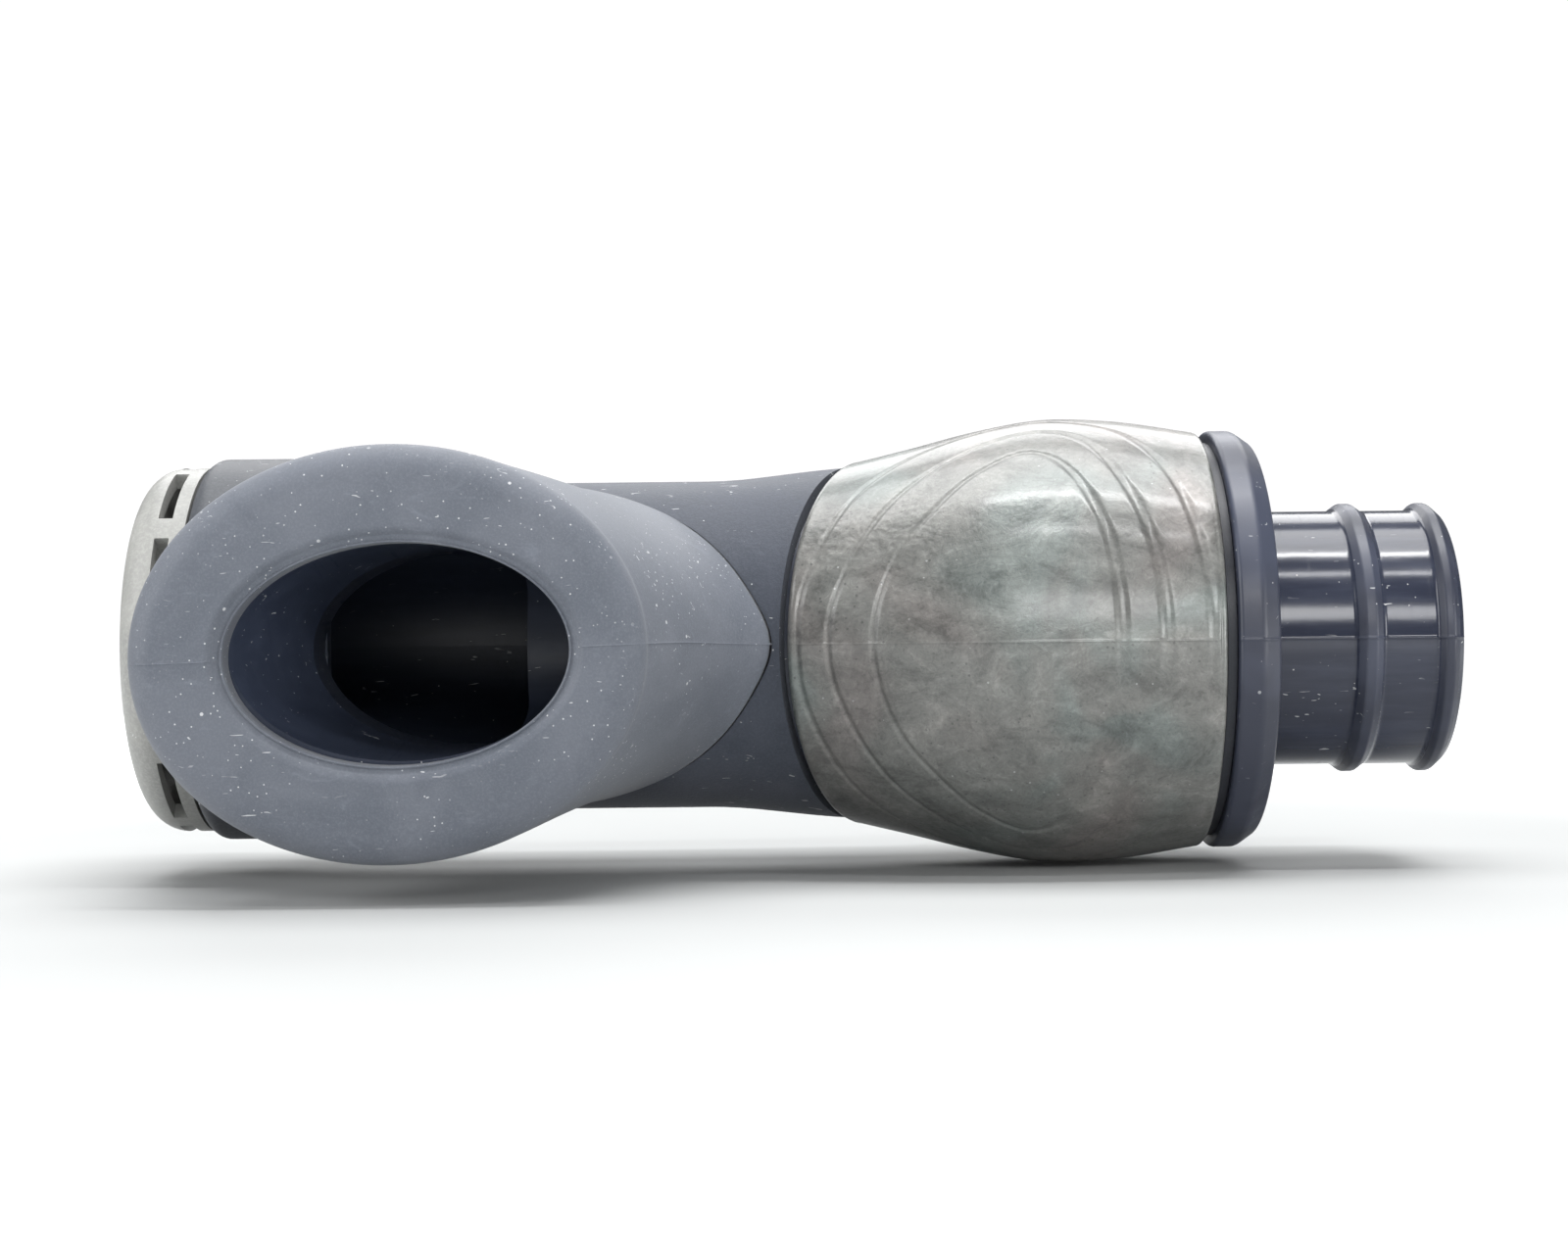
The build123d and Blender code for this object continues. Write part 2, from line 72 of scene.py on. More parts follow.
# ---------------------------------------------------------------- curves and grids
def through(knots, at):
    """Smooth curve through (place, value) knots, read at the places asked for."""
    place, value = np.array(knots, float).T
    slope = np.gradient(value, place)
    at = np.clip(at, place[0], place[-1])
    i = np.clip(np.searchsorted(place, at) - 1, 0, len(place) - 2)
    span = place[i + 1] - place[i]
    t = (at - place[i]) / span
    rest = 1 - t
    ends = value[i] * rest * rest * (1 + 2 * t) + value[i + 1] * t * t * (3 - 2 * t)
    return ends + span * t * rest * (slope[i] * rest - slope[i + 1] * t)


def smooth_step(low, high, x):
    """0 below low, 1 above high, and an easy curve between."""
    t = np.clip((x - low) / (high - low), 0, 1)
    return t * t * (3 - 2 * t)


def rounded(corners, steps=7):
    """Closed outline through (x, r, fillet) corners, each turned into an arc."""
    outline = []
    count = len(corners)
    for i, (x, r, fillet) in enumerate(corners):
        here = np.array((x, r))
        back = np.array(corners[i - 1][:2]) - here
        ahead = np.array(corners[(i + 1) % count][:2]) - here
        back_length, ahead_length = np.hypot(*back), np.hypot(*ahead)
        if fillet == 0:
            outline.append(here)
            continue
        a, b = back / back_length, ahead / ahead_length
        half = math.acos(np.clip(a @ b, -1, 1)) / 2
        reach = min(fillet / math.tan(half), 0.49 * back_length, 0.49 * ahead_length)
        radius = reach * math.tan(half)
        middle = (a + b) / np.hypot(*(a + b))
        centre = here + middle * radius / math.sin(half)
        start, end = here + a * reach - centre, here + b * reach - centre
        sweep = math.atan2(start[0] * end[1] - start[1] * end[0], start @ end)
        for k in range(steps + 1):
            turn = sweep * k / steps
            c, s = math.cos(turn), math.sin(turn)
            outline.append(centre + (start[0] * c - start[1] * s, start[0] * s + start[1] * c))
    return np.array(outline)


def grid_faces(rows, columns, close_rows=True):
    """Quads of a grid of points, closed round its columns and, if asked, its rows."""
    row = np.arange(rows if close_rows else rows - 1)
    a, b = np.meshgrid(row, np.arange(columns), indexing="ij")
    down, right = (a + 1) % rows, (b + 1) % columns
    corners = [a * columns + b, a * columns + right, down * columns + right, down * columns + b]
    return np.stack(corners, axis=-1).reshape(-1, 4)


def around(radius, spacing, seam_width, dense=0.0, dense_spacing=1.0):
    """Angles round the airway: even, denser within `dense` of the front, and with
    narrow columns at both mould lines."""
    count = int(2 * math.pi * radius / spacing)
    angles = list(np.linspace(-math.pi, math.pi, count, endpoint=False))
    if dense:
        angles += list(np.arange(-dense, dense, dense_spacing / radius))
    steps = np.array((-1, -0.5, 0, 0.5, 1)) * seam_width / radius
    angles += list(steps) + list(math.pi - steps[steps >= 0]) + list(-math.pi - steps[steps < 0])
    angles = np.sort(np.mod(np.array(angles) + math.pi, 2 * math.pi) - math.pi)
    gap = 0.2 * seam_width / radius
    kept = [angles[0]]
    for angle in angles[1:]:
        if angle - kept[-1] > gap:
            kept.append(angle)
    return np.array(kept)


def seam_ridge(angles, radius, height, width):
    """Height of the mould line's flash, which stands at the front and at the back."""
    from_front = np.abs(angles) * radius
    from_back = (math.pi - np.abs(angles)) * radius
    nearest = np.minimum(from_front, from_back)
    return height * np.clip(1 - nearest / width, 0, 1)


# ---------------------------------------------------------------- pieces
def piece_of(name, points, faces, material, body, node):
    """A smooth closed mesh in place, riding on a body and standing for a CAD node."""
    mesh = bpy.data.meshes.new(name)
    mesh.from_pydata((np.asarray(points) * MM).tolist(), [], np.asarray(faces).tolist())
    work = bmesh.new()
    work.from_mesh(mesh)
    bmesh.ops.remove_doubles(work, verts=work.verts, dist=1e-7)
    bmesh.ops.recalc_face_normals(work, faces=work.faces)
    work.to_mesh(mesh)
    work.free()
    mesh.shade_smooth()
    mesh.materials.append(material)
    piece = bpy.data.objects.new(name, mesh)
    bpy.context.scene.collection.objects.link(piece)
    normals = piece.modifiers.new("even_normals", "WEIGHTED_NORMAL")
    normals.keep_sharp = True
    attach(piece, body)
    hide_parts(node)


def lathe_points(outline, angles, ridge, ridge_width, ridge_from):
    """Points of a closed outline turned round the airway. Its mould line stands out
    beyond the radius ridge_from."""
    x, r = outline[:, :1], outline[:, 1:]
    lift = seam_ridge(angles, r, ridge, ridge_width) * (r > ridge_from)
    r = r + lift
    return np.stack([x + 0 * r, -r * np.cos(angles), r * np.sin(angles)], axis=-1)


# ---------------------------------------------------------------- materials
def material_nodes(name):
    """A new material with its node tree, shader, and a coordinate in metres."""
    material = bpy.data.materials.new(name)
    material.use_nodes = True
    tree = material.node_tree
    shader = tree.nodes["Principled BSDF"]
    place = tree.nodes.new("ShaderNodeTexCoord").outputs["Object"]
    return material, tree, shader, place


def noise(tree, place, size_mm, detail=4.0, rough=0.5, warp=0.0, stretch=(1, 1, 1)):
    """Noise whose blobs are about size_mm across, as a value from 0 to 1."""
    mapping = tree.nodes.new("ShaderNodeMapping")
    mapping.inputs["Scale"].default_value = Vector(stretch)
    tree.links.new(place, mapping.inputs["Vector"])
    node = tree.nodes.new("ShaderNodeTexNoise")
    node.inputs["Scale"].default_value = 1 / (size_mm * MM)
    node.inputs["Detail"].default_value = detail
    node.inputs["Roughness"].default_value = rough
    node.inputs["Distortion"].default_value = warp
    tree.links.new(mapping.outputs["Vector"], node.inputs["Vector"])
    return node.outputs["Fac"]


def cells(tree, place, size_mm, feature="F1"):
    """Voronoi cells about size_mm across: distance and a colour for each cell."""
    node = tree.nodes.new("ShaderNodeTexVoronoi")
    node.feature = feature
    node.inputs["Scale"].default_value = 1 / (size_mm * MM)
    tree.links.new(place, node.inputs["Vector"])
    return node


def ramp(tree, value, stops, ease="EASE"):
    """A value turned into a colour by stops of (place, grey or colour)."""
    node = tree.nodes.new("ShaderNodeValToRGB")
    node.color_ramp.interpolation = ease
    while len(node.color_ramp.elements) < len(stops):
        node.color_ramp.elements.new(0.5)
    for element, (position, colour) in zip(node.color_ramp.elements, stops):
        element.position = position
        grey = isinstance(colour, (int, float))
        element.color = (colour, colour, colour, 1) if grey else (*colour, 1)
    tree.links.new(value, node.inputs["Fac"])
    return node.outputs["Color"]


def mixed(tree, share, first, second, blend="MIX"):
    """Two colours mixed by a share, which may be a number or a node's output."""
    node = tree.nodes.new("ShaderNodeMix")
    node.data_type = "RGBA"
    node.blend_type = blend
    share_socket, first_socket, second_socket = (node.inputs[i] for i in (0, 6, 7))
    for socket, value in (
        (share_socket, share), (first_socket, first), (second_socket, second),
    ):
        if isinstance(value, bpy.types.NodeSocket):
            tree.links.new(value, socket)
        elif isinstance(value, tuple):
            socket.default_value = (*value, 1)
        else:
            socket.default_value = value
    return node.outputs[2]


def maths(tree, operation, first, second=0.0):
    """A sum on node outputs or numbers."""
    node = tree.nodes.new("ShaderNodeMath")
    node.operation = operation
    for socket, value in zip(node.inputs, (first, second)):
        if isinstance(value, bpy.types.NodeSocket):
            tree.links.new(value, socket)
        else:
            socket.default_value = value
    return node.outputs[0]


def bump(tree, shader, *layers):
    """Stacks (height output, depth in mm) layers of relief onto the shader."""
    normal = None
    for height, depth_mm in layers:
        node = tree.nodes.new("ShaderNodeBump")
        node.inputs["Distance"].default_value = depth_mm * MM
        tree.links.new(height, node.inputs["Height"])
        if normal is not None:
            tree.links.new(normal, node.inputs["Normal"])
        normal = node.outputs["Normal"]
    tree.links.new(normal, shader.inputs["Normal"])


def specks(tree, place, size_mm, spacing_mm, share):
    """1 on scattered specks about size_mm across, and 0 elsewhere."""
    node = cells(tree, place, spacing_mm)
    near = maths(tree, "LESS_THAN", node.outputs["Distance"], size_mm / spacing_mm / 2)
    split = tree.nodes.new("ShaderNodeSeparateColor")
    tree.links.new(node.outputs["Color"], split.inputs["Color"])
    chosen = maths(tree, "LESS_THAN", split.outputs[0], share)
    return maths(tree, "MULTIPLY", near, chosen)


def radius_of(tree, place, across=(1, 2)):
    """Distance from the airway's axis, or from another by the two directions across it."""
    split = tree.nodes.new("ShaderNodeSeparateXYZ")
    tree.links.new(place, split.inputs[0])
    squares = [maths(tree, "MULTIPLY", split.outputs[i], split.outputs[i]) for i in across]
    return maths(tree, "SQRT", maths(tree, "ADD", *squares))


def dusted(tree, place, colour, amount):
    """Lint and dust: fine and coarse pale specks, and short threads, in loose drifts."""
    drift = ramp(tree, noise(tree, place, 11.0, 3.0, 0.6, 0.4), [(0.42, 0.12), (0.56, 1.0)])
    fine = specks(tree, place, 0.14, 0.62, amount)
    coarse = specks(tree, place, 0.30, 2.0, amount * 0.6)
    threads = noise(tree, place, 0.5, 1.0, 0.5, 1.5, (0.22, 1.0, 1.0))
    thread_line = ramp(tree, threads, [(0.745, 0.0), (0.765, 1.0)])
    both = maths(tree, "MAXIMUM", maths(tree, "MAXIMUM", fine, coarse), thread_line)
    share = maths(tree, "MULTIPLY", maths(tree, "MULTIPLY", both, drift), 0.8)
    return mixed(tree, share, colour, (0.60, 0.61, 0.62))


def dull_material(name, dark, light, rough, grain_mm, grain_depth, dust=0.0, sheen=0.0):
    """Matte rubber or moulded plastic: mottled tone, fine grain, pores and some dust."""
    material, tree, shader, place = material_nodes(name)
    mottle = noise(tree, place, 9.0, 6.0, 0.65, 0.5)
    colour = mixed(tree, ramp(tree, mottle, [(0.34, 0.0), (0.66, 1.0)]), dark, light)
    grain = noise(tree, place, grain_mm, 3.0, 0.75)
    bloom = ramp(tree, grain, [(0.42, 0.0), (0.68, 1.0)])
    pale, palest = tuple(1.5 * v for v in light), tuple(1.7 * v for v in light)
    colour = mixed(tree, maths(tree, "MULTIPLY", bloom, 0.30), colour, pale)
    rubs = noise(tree, place, 2.4, 5.0, 0.7, 2.0, (0.35, 1.0, 1.0))
    rub = ramp(tree, rubs, [(0.58, 0.0), (0.74, 1.0)])
    colour = mixed(tree, maths(tree, "MULTIPLY", rub, 0.28), colour, palest)
    if dust:
        colour = dusted(tree, place, colour, dust)
    tree.links.new(colour, shader.inputs["Base Color"])
    tree.links.new(
        ramp(tree, mottle, [(0.3, max(rough - 0.05, 0)), (0.7, rough + 0.05)]),
        shader.inputs["Roughness"],
    )
    shader.inputs["Sheen Weight"].default_value = sheen
    shader.inputs["Sheen Roughness"].default_value = 0.6
    shader.inputs["Specular IOR Level"].default_value = 0.35
    bump(tree, shader, (mottle, 0.03), (rubs, 0.01), (grain, grain_depth))
    return material


def gloss_material(name, dark, light, rough, scuff, satin_radius=None):
    """Moulded black plastic with faint streaks and scuffs. Where it is further from the
    axis than satin_radius, in millimetres, it has a satin skin."""
    material, tree, shader, place = material_nodes(name)
    cloud = noise(tree, place, 12.0, 3.0)
    streaks = noise(tree, place, 1.6, 4.0, 0.6, stretch=(0.12, 1.0, 1.0))
    scratches = noise(tree, place, 0.35, 2.0, 0.5, stretch=(1.0, 0.06, 0.06))
    colour = mixed(tree, ramp(tree, streaks, [(0.35, 0.0), (0.75, 1.0)]), dark, light)
    gleam = ramp(tree, streaks, [(0.3, rough), (0.8, rough + scuff)])
    rub = ramp(tree, scratches, [(0.62, 0.0), (0.72, 1.0)])
    worn = mixed(tree, rub, gleam, (rough + 2 * scuff,) * 3)
    grain = noise(tree, place, 0.22, 3.0, 0.7)
    if satin_radius:
        distance = maths(tree, "DIVIDE", radius_of(tree, place), satin_radius * MM)
        satin = ramp(tree, maths(tree, "SUBTRACT", distance, 0.5), [(0.497, 0.0), (0.506, 1.0)])
        worn = mixed(tree, satin, worn, ramp(tree, streaks, [(0.3, 0.36), (0.8, 0.46)]))
        paler = mixed(tree, ramp(tree, cloud, [(0.4, 0.0), (0.6, 1.0)]),
                      dark, tuple(1.2 * v for v in light))
        colour = mixed(tree, satin, colour, paler)
        grain = maths(tree, "MULTIPLY", grain, satin)
    colour = dusted(tree, place, colour, 0.10)
    tree.links.new(colour, shader.inputs["Base Color"])
    tree.links.new(worn, shader.inputs["Roughness"])
    bump(tree, shader, (cloud, 0.05), (streaks, 0.006), (scratches, 0.002), (grain, 0.008))
    return material


def pearl_material(name):
    """Grey pearl plastic: flow swirls and flakes under a clear, pebbled, bright skin."""
    material, tree, shader, place = material_nodes(name)
    swirl = noise(tree, place, 9.0, 6.0, 0.62, warp=1.6)
    flow = noise(tree, place, 3.2, 6.0, 0.72, warp=1.0, stretch=(0.6, 1.0, 1.0))
    flakes = noise(tree, place, 0.55, 3.0, 0.7, warp=1.5)
    tint = noise(tree, place, 16.0, 2.0, 0.5, warp=0.6)
    grey = ramp(tree, swirl, [(0.32, (0.120, 0.122, 0.118)), (0.52, (0.165, 0.166, 0.160)),
                              (0.72, (0.215, 0.212, 0.203))])
    hue = ramp(tree, tint, [(0.36, (0.44, 0.53, 0.52)), (0.5, (0.5, 0.505, 0.49)),
                            (0.66, (0.565, 0.50, 0.49))])
    colour = mixed(tree, 0.6, grey, hue, "OVERLAY")
    marks = ramp(tree, flow, [(0.36, 0.33), (0.5, 0.5), (0.66, 0.68)])
    colour = mixed(tree, 0.75, colour, marks, "OVERLAY")
    glints = ramp(tree, flakes, [(0.34, 0.36), (0.5, 0.5), (0.68, 0.66)])
    colour = mixed(tree, 0.55, colour, glints, "OVERLAY")
    patch = ramp(tree, noise(tree, place, 13.0, 3.0), [(0.40, 0.15), (0.60, 1.0)])
    # Painted shade: dark specks in the pebbled patches stand for the shade inside tiny pits;
    # they have no relief of their own.
    pit_shade_specks = maths(tree, "MULTIPLY", specks(tree, place, 0.24, 0.75, 0.5), patch)
    colour = mixed(tree, maths(tree, "MULTIPLY", pit_shade_specks, 0.55), colour, (0.055, 0.056, 0.055))
    chips = maths(tree, "MULTIPLY", specks(tree, place, 0.20, 1.3, 0.35), patch)
    colour = mixed(tree, maths(tree, "MULTIPLY", chips, 0.5), colour, (0.52, 0.53, 0.53))
    tree.links.new(colour, shader.inputs["Base Color"])
    shader.inputs["Metallic"].default_value = 0.30
    shader.inputs["Coat Weight"].default_value = 0.45
    shader.inputs["Coat Roughness"].default_value = 0.16
    tree.links.new(ramp(tree, flow, [(0.3, 0.34), (0.7, 0.48)]), shader.inputs["Roughness"])
    pebble = cells(tree, place, 0.62, "SMOOTH_F1")
    pebbles = mixed(tree, patch, (0.35, 0.35, 0.35), pebble.outputs["Distance"])
    bump(tree, shader, (swirl, 0.14), (flow, 0.07), (pebbles, 0.055), (flakes, 0.015))
    return material


def steel_material(name):
    """Spring steel with fine drawn lines."""
    material, tree, shader, place = material_nodes(name)
    lines = noise(tree, place, 0.3, 3.0, 0.6, stretch=(6.0, 0.5, 0.5))
    tree.links.new(
        ramp(tree, lines, [(0.3, (0.42, 0.43, 0.44)), (0.7, (0.62, 0.62, 0.63))]),
        shader.inputs["Base Color"],
    )
    shader.inputs["Metallic"].default_value = 1.0
    tree.links.new(ramp(tree, lines, [(0.3, 0.25), (0.7, 0.4)]), shader.inputs["Roughness"])
    bump(tree, shader, (lines, 0.004))
    return material


def milky_material(name):
    """Thin soft silicone, which lets a little light in; here drawn pale, clouded and opaque."""
    material, tree, shader, place = material_nodes(name)
    cloud = noise(tree, place, 4.0, 4.0)
    tree.links.new(
        ramp(tree, cloud, [(0.3, (0.50, 0.51, 0.50)), (0.7, (0.62, 0.62, 0.60))]),
        shader.inputs["Base Color"],
    )
    tree.links.new(ramp(tree, cloud, [(0.3, 0.38), (0.7, 0.48)]), shader.inputs["Roughness"])
    bump(tree, shader, (cloud, 0.01))
    return material


SILICONE = dull_material(
    "silicone", (0.092, 0.104, 0.128), (0.122, 0.134, 0.160), 0.58, 0.20, 0.016, 0.7, 0.12
)
SOFT_SKIN = dull_material(
    "soft_skin", (0.040, 0.048, 0.066), (0.056, 0.064, 0.085), 0.62, 0.28, 0.035, 0.10, 0.10
)
HOUSING_BLACK = dull_material(
    "housing_black", (0.055, 0.060, 0.070), (0.075, 0.080, 0.090), 0.52, 0.3, 0.015, 0.12
)
CORE_BLACK = gloss_material(
    "core_black", (0.030, 0.038, 0.062), (0.040, 0.050, 0.078), 0.34, 0.05
)
CONNECTOR_BLACK = gloss_material(
    "connector_black", (0.024, 0.028, 0.046), (0.040, 0.046, 0.070), 0.13, 0.05, 12.2
)
COWL_PEARL = pearl_material("cowl_pearl")
COVER_GREY = dull_material(
    "cover_grey", (0.266, 0.268, 0.258), (0.333, 0.333, 0.318), 0.42, 0.35, 0.016, 0.12
)
SEAL_BLACK = dull_material(
    "seal_black", (0.02, 0.02, 0.022), (0.035, 0.035, 0.038), 0.5, 0.2, 0.006
)
WASHER_BLACK = dull_material(
    "washer_black", (0.022, 0.024, 0.032), (0.032, 0.035, 0.044), 0.42, 0.2, 0.005
)
SEAT_BLACK = dull_material(
    "seat_black", (0.035, 0.037, 0.042), (0.05, 0.052, 0.058), 0.45, 0.25, 0.01
)
RING_STEEL = steel_material("ring_steel")
DIAPHRAGM = milky_material("diaphragm_milky")

CAD_FINISHES = {
    "body_core": CORE_BLACK,
    "body_sleeve": SOFT_SKIN,
    "cowl_lock_ring": CORE_BLACK,
    "housing_o_ring": SEAL_BLACK,
    "port_collar": CORE_BLACK,
    "purge_cover": COVER_GREY,
    "purge_diaphragm": DIAPHRAGM,
    "purge_housing": HOUSING_BLACK,
    "purge_seat_o_ring": SEAL_BLACK,
    "purge_valve_seat": SEAT_BLACK,
    "swivel_o_ring": SEAL_BLACK,
    "swivel_snap_ring": RING_STEEL,
    "swivel_thrust_washer": WASHER_BLACK,
}
for node_name, finish in CAD_FINISHES.items():
    for material_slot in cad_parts[node_name].material_slots:
        material_slot.material = finish


# ---------------------------------------------------------------- hose connector
def hose_connector():
    """Shank, flange and barbed spigot, with the mould line's flash along both sides."""
    low, high = node_box("hose_connector")
    washer_high = node_box("swivel_thrust_washer")[1]
    washer_gap, flange_thickness = 0.05, 4.1
    flange_back = washer_high[0] + washer_gap
    flange_face = flange_back + flange_thickness
    flange_radius, shank_radius = high[2], 14.55
    spigot_radius, bore_radius, crest = 12.0, 10.0, 12.7
    ring_left, ring_right, ring_flank = -9.9, -7.1, 0.95
    outline = rounded([
        (low[0], bore_radius, 0.3),
        (low[0], shank_radius, 0.5),
        (flange_back, shank_radius, 0.2),
        (flange_back, flange_radius, 0.45),
        (flange_face - 1.9, flange_radius, 1.2),
        (flange_face - 0.25, flange_radius - 1.15, 0.7),
        (flange_face, spigot_radius + 1.6, 0.6),
        (flange_face + 0.35, spigot_radius, 0.5),
        (ring_left, spigot_radius, 0.5),
        (ring_left + ring_flank, crest, 0.45),
        (ring_right - ring_flank, crest, 0.45),
        (ring_right, spigot_radius, 0.5),
        (-2.45, spigot_radius, 0.5),
        (-1.75, crest, 0.4),
        (-1.0, crest, 0.5),
        (high[0], spigot_radius - 0.2, 0.45),
        (high[0], bore_radius, 0.6),
    ])
    seam_width, seam_height = 0.13, 0.07
    angles = around(spigot_radius, 0.55, seam_width)
    points = lathe_points(outline, angles, seam_height, seam_width, bore_radius + 0.5)
    piece_of(
        "hose_connector_moulding", points.reshape(-1, 3), grid_faces(*points.shape[:2]),
        CONNECTOR_BLACK, "connector", "hose_connector",
    )


# ---------------------------------------------------------------- cowl
COWL_LEFT = -54.2
COWL_RIGHT = node_box("cowl")[1][0]
COWL_LENGTH = COWL_RIGHT - COWL_LEFT
COWL_RAKE = 0.43
COWL_WALL = 1.6
COWL_RADIUS = [(0.0, 17.0), (0.18, 18.4), (0.35, 19.8), (0.55, 20.9), (0.76, 20.7), (1.0, 19.55)]


def loop_through(half, steps=14):
    """Closed smooth loop through points of its upper half, mirrored about s = 0."""
    points = np.array(half + [(x, -s) for x, s in half[-2:0:-1]], float)
    before, after, later = (np.roll(points, k, axis=0) for k in (1, -1, -2))
    loop = []
    for t in np.linspace(0, 1, steps, endpoint=False):
        cubic = 2 * points + (after - before) * t
        cubic += (2 * before - 5 * points + 4 * after - later) * t ** 2
        cubic += (3 * points - before - 3 * after + later) * t ** 3
        loop.append(cubic / 2)
    return np.stack(loop, axis=1).reshape(-1, 2)


def distance_to_loop(loop, x, s):
    """Distance from each point to a closed loop, and how far along X the nearest lies."""
    start, step = loop, np.roll(loop, -1, axis=0) - loop
    best = np.full(x.shape, 1e9)
    nearest_x = np.zeros(x.shape)
    for (x0, s0), (dx, ds) in zip(start, step):
        t = np.clip(((x - x0) * dx + (s - s0) * ds) / (dx * dx + ds * ds), 0, 1)
        distance = np.hypot(x - x0 - t * dx, s - s0 - t * ds)
        closer = distance < best
        best = np.where(closer, distance, best)
        nearest_x = np.where(closer, x0 + t * dx, nearest_x)
    return best, nearest_x


# Contour grooves of the cowl: x along the shell, s along its skin from the front.
INNER_CONTOUR = [
    (-47.5, 0), (-46.2, 7.4), (-43.2, 13.5), (-40.7, 17.3), (-37.2, 20.1),
    (-34.0, 17.8), (-31.3, 11.4), (-30.2, 5.0), (-30.0, 0),
]
OUTER_CONTOUR = [
    (-50.9, 0), (-50.2, 5.2), (-47.2, 13.8), (-42.2, 20.9), (-37.0, 24.3),
    (-32.8, 22.3), (-29.1, 14.2), (-27.4, 7.0), (-26.9, 0),
]
EDGE_CONTOUR = [
    (-53.3, 0), (-52.8, 6.2), (-50.1, 15.9), (-45.0, 23.5), (-38.0, 28.0),
    (-31.0, 25.5), (-26.2, 17.0), (-24.1, 7.0), (-23.7, 0),
]


def cowl():
    """Swelling pearl shell with a raked rim, a soft keel and nested contour grooves."""
    rim, row_spacing, edge_inset = COWL_WALL / 2, 0.15, 0.5
    rows = int(COWL_LENGTH / row_spacing)
    outer_x = np.linspace(COWL_RIGHT - edge_inset, COWL_LEFT + rim, rows)
    share = (outer_x - COWL_LEFT) / COWL_LENGTH
    outer_r = through(COWL_RADIUS, share)
    turn = np.linspace(0, math.pi, 12)[1:-1]
    rim_r = through(COWL_RADIUS, rim / COWL_LENGTH) - rim
    rim_x = COWL_LEFT + rim - rim * np.sin(turn)
    rim_radius = rim_r + rim * np.cos(turn)
    inner_x = np.linspace(COWL_LEFT + rim, COWL_RIGHT, 40)
    inner_r = through(COWL_RADIUS, (inner_x - COWL_LEFT) / COWL_LENGTH) - COWL_WALL
    edge = rounded([
        (COWL_RIGHT, inner_r[-1], 0),
        (COWL_RIGHT, outer_r[0], 0.45),
        (COWL_RIGHT - 1.5, outer_r[0], 0),
    ])[1:-1]
    x = np.concatenate([outer_x, rim_x, inner_x, edge[:, 0]])
    r = np.concatenate([outer_r, rim_radius, inner_r, edge[:, 1]])
    angles = around(COWL_RADIUS[3][1], 0.6, 0.1, dense=1.48, dense_spacing=0.16)
    x, r, angle = x[:, None], r[:, None], angles[None, :]
    s = r * angle
    outside = np.zeros(x.shape[0])
    outside[:rows] = 1
    outside = outside[:, None] * smooth_step(0, 1.2, COWL_RIGHT - x)
    cut = 0
    for contour, depth, narrow, wide in (
        (INNER_CONTOUR, 0.17, 0.30, 0.62),
        (OUTER_CONTOUR, 0.17, 0.30, 0.62),
        (EDGE_CONTOUR, 0.13, 0.34, 0.50),
    ):
        away, near_x = distance_to_loop(loop_through(contour), x + 0 * s, s)
        half = narrow + (wide - narrow) * smooth_step(-42, -32, near_x)
        cut = cut + depth * (1 - smooth_step(0.15, 1.0, away / half))
    keel = 0.42 * np.exp(-np.abs(angle) / 0.30) * smooth_step(-55, -44, x)
    flash = seam_ridge(angle, r, 0.05, 0.1)
    radius = r + outside * (keel + flash - cut)
    y = -radius * np.cos(angle)
    rake = COWL_RAKE * (1 - np.clip((x - COWL_LEFT) / COWL_LENGTH, 0, 1))
    points = np.stack([x + rake * -r * np.cos(angle), y, radius * np.sin(angle)], axis=-1)
    piece_of(
        "cowl_shell", points.reshape(-1, 3), grid_faces(*points.shape[:2]),
        COWL_PEARL, "housing", "cowl",
    )


# ---------------------------------------------------------------- mouth port
PORT_REACH = -node_box("mouth_port_boot")[0][1]
RIM_REACH = PORT_REACH - 2.6
FUNNEL_REACH = -node_box("port_collar")[0][1]
RIM_CENTRE, RIM_WIDTH, RIM_HEIGHT = -94.3, 21.45, 17.4
ROOT_CENTRE, ROOT_WIDTH, ROOT_HEIGHT = -87.1, 21.8, 15.2
MOUTH_CENTRE, MOUTH_WIDTH, MOUTH_HEIGHT = -93.42, 14.2, 9.15
COLLAR_CENTRE, COLLAR_WIDTH, COLLAR_HEIGHT = -89.5, 14.6, 10.2
SLEEVE_RADIUS = [(-120, 15.45), (-68.6, 15.45), (-61.6, 16.0), (-55.2, 16.6), (-46.7, 16.6)]


def sleeve_top(x, z):
    """Reach of the soft skin under the port, at a place on it."""
    clear, least_reach = 0.12, 2.0
    radius = through(SLEEVE_RADIUS, x)
    return np.sqrt(np.maximum(radius ** 2 - z ** 2, least_reach ** 2)) + clear


def twisted(points):
    """The soft port stands a little turned and a little low, as it was put down."""
    full_turn, sink = math.radians(1.8), 0.4
    share = smooth_step(14, 30, -points[..., 1])
    turn = full_turn * share
    x, z = points[..., 0] - RIM_CENTRE, points[..., 2]
    moved = points.copy()
    moved[..., 0] = RIM_CENTRE + x * np.cos(turn) - z * np.sin(turn)
    moved[..., 2] = x * np.sin(turn) + z * np.cos(turn) - sink * share
    return moved


def port_turns():
    """Cosine and sine of the turns round the port, with its mould line's flash."""
    fine = np.array((-0.008, -0.004, -0.0015, 0.0, 0.0015, 0.004, 0.008))
    even = np.linspace(0, 2 * math.pi, 300, endpoint=False)
    even = even[(np.abs(np.sin(even)) > 0.015)]
    turns = np.sort(np.concatenate([even, np.mod(fine, 2 * math.pi), math.pi + fine]))
    c, s = np.cos(turns), np.sin(turns)
    flash = 0.06 * np.clip(1 - np.abs(s) / 0.005, 0, 1)
    return c, s, flash


PORT_C, PORT_S, PORT_FLASH = port_turns()


